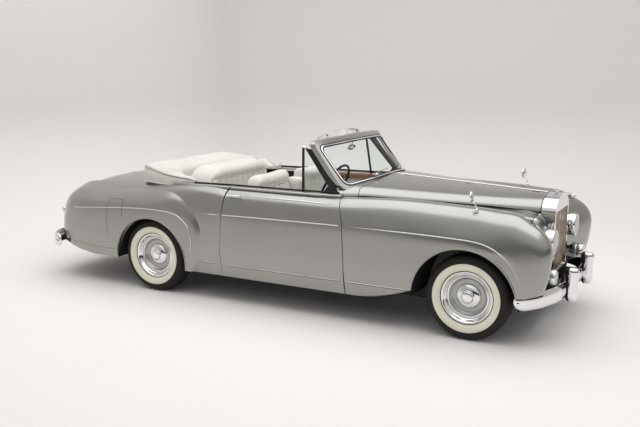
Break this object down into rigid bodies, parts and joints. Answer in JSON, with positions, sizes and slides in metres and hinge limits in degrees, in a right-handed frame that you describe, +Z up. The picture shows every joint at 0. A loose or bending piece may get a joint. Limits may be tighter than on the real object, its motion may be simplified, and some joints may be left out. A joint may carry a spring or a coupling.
{
  "type": "1950s convertible car",
  "caption": "Two-door open touring car with a folded hood, separate rounded wings, an upright radiator and opening doors, bonnet and boot.",
  "frame": {"origin": "on the ground, in the middle of the length and width", "axes": "+X forward, +Y to the left, +Z up"},
  "size_m": [5.3695, 1.817, 1.5299],
  "materials": {
    "body_paint": "silver-grey metallic gloss",
    "bright_plate": "polished",
    "clear_glass": "clear",
    "lamp_glass": "moulded clear",
    "red_lens": "moulded red",
    "grille_bronze": "satin",
    "chassis_black": "satin black",
    "floor_paint": "satin",
    "hood_cloth": "woven cover cloth",
    "seat_leather": "pleated hide",
    "dash_wood": "varnished walnut",
    "dark_plastic": "moulded",
    "engine_iron": "cast",
    "exhaust_steel": "dull",
    "wheel_steel": "painted and plated",
    "tyre_rubber": "matt"
  },
  "bodies": {
    "car_body": {"chassis_frame": "chassis_black", "dashboard": "dash_wood", "engine_block": "engine_iron", "exhaust": "exhaust_steel", "floor_pan": "floor_paint", "folded_hood": "hood_cloth", "front_bumper": "bright_plate", "front_lamps": "bright_plate", "front_seats": "seat_leather", "front_suspension": "chassis_black", "front_wing_left": "body_paint", "front_wing_right": "body_paint", "lamp_lenses": "lamp_glass", "radiator_grille": "grille_bronze", "radiator_shell": "bright_plate", "rear_axle": "chassis_black", "rear_body": "body_paint", "rear_bumper": "bright_plate", "rear_seat": "seat_leather", "scuttle": "body_paint", "steering_column": "dark_plastic", "tail_lamps": "red_lens", "windscreen_glass": "clear_glass", "windscreen_trim": "bright_plate", "wing_mirrors": "bright_plate"},
    "door_right": {"door_right": "body_paint", "door_fittings_right": "bright_plate", "quarter_glass_right": "clear_glass"},
    "bonnet_right": {"bonnet_right": "body_paint"},
    "knuckle_right": {"knuckle_right": "chassis_black"},
    "wheel_front_right": {"front_wheel_right": "wheel_steel", "front_tyre_right": "tyre_rubber"},
    "wheel_rear_right": {"rear_wheel_right": "wheel_steel", "rear_tyre_right": "tyre_rubber"},
    "door_left": {"door_left": "body_paint", "door_fittings_left": "bright_plate", "quarter_glass_left": "clear_glass"},
    "bonnet_left": {"bonnet_left": "body_paint"},
    "knuckle_left": {"knuckle_left": "chassis_black"},
    "wheel_front_left": {"front_wheel_left": "wheel_steel", "front_tyre_left": "tyre_rubber"},
    "wheel_rear_left": {"rear_wheel_left": "wheel_steel", "rear_tyre_left": "tyre_rubber"},
    "boot": {"boot_lid": "body_paint"},
    "steering": {"steering_wheel": "dark_plastic"}
  },
  "joints": [
    {"name": "door_right_hinge", "type": "hinge", "parent": "car_body", "child": "door_right", "pos_m": [0.9025, -0.867, 0.65], "axis": [0, 0, 1], "range_deg": [0, 65]},
    {"name": "bonnet_right_hinge", "type": "hinge", "parent": "car_body", "child": "bonnet_right", "pos_m": [0.9125, -0.015, 1.193], "axis": [-0.9986, 0, 0.0527], "range_deg": [0, 48]},
    {"name": "door_left_hinge", "type": "hinge", "parent": "car_body", "child": "door_left", "pos_m": [0.9025, 0.867, 0.65], "axis": [0, 0, -1], "range_deg": [0, 65]},
    {"name": "bonnet_left_hinge", "type": "hinge", "parent": "car_body", "child": "bonnet_left", "pos_m": [0.9125, 0.015, 1.193], "axis": [0.9986, 0, -0.0527], "range_deg": [0, 48]},
    {"name": "boot_hinge", "type": "hinge", "parent": "car_body", "child": "boot", "pos_m": [-2.0645, 0, 1.018], "axis": [0, 1, 0], "range_deg": [0, 62]},
    {"name": "steer_right", "type": "hinge", "parent": "car_body", "child": "knuckle_right", "pos_m": [1.9145, -0.6465, 0.35], "axis": [0, 0, 1], "range_deg": [-33, 33]},
    {"name": "spin_front_right", "type": "hinge", "parent": "knuckle_right", "child": "wheel_front_right", "pos_m": [1.9145, -0.7365, 0.35], "axis": [0, 1, 0], "continuous": true},
    {"name": "spin_rear_right", "type": "hinge", "parent": "car_body", "child": "wheel_rear_right", "pos_m": [-1.2095, -0.762, 0.35], "axis": [0, 1, 0], "continuous": true},
    {"name": "steer_left", "type": "hinge", "parent": "car_body", "child": "knuckle_left", "pos_m": [1.9145, 0.6465, 0.35], "axis": [0, 0, 1], "range_deg": [-33, 33]},
    {"name": "spin_front_left", "type": "hinge", "parent": "knuckle_left", "child": "wheel_front_left", "pos_m": [1.9145, 0.7365, 0.35], "axis": [0, 1, 0], "continuous": true},
    {"name": "spin_rear_left", "type": "hinge", "parent": "car_body", "child": "wheel_rear_left", "pos_m": [-1.2095, 0.762, 0.35], "axis": [0, 1, 0], "continuous": true},
    {"name": "steering_turn", "type": "hinge", "parent": "car_body", "child": "steering", "pos_m": [0.4935, -0.36, 1.086], "axis": [-0.891, 0, 0.454], "range_deg": [-660, 660]}
  ],
  "couplings": [
    {"joint": "steer_left", "follows": "steer_right", "ratio": 1},
    {"joint": "steering_turn", "follows": "steer_right", "ratio": 20}
  ]
}
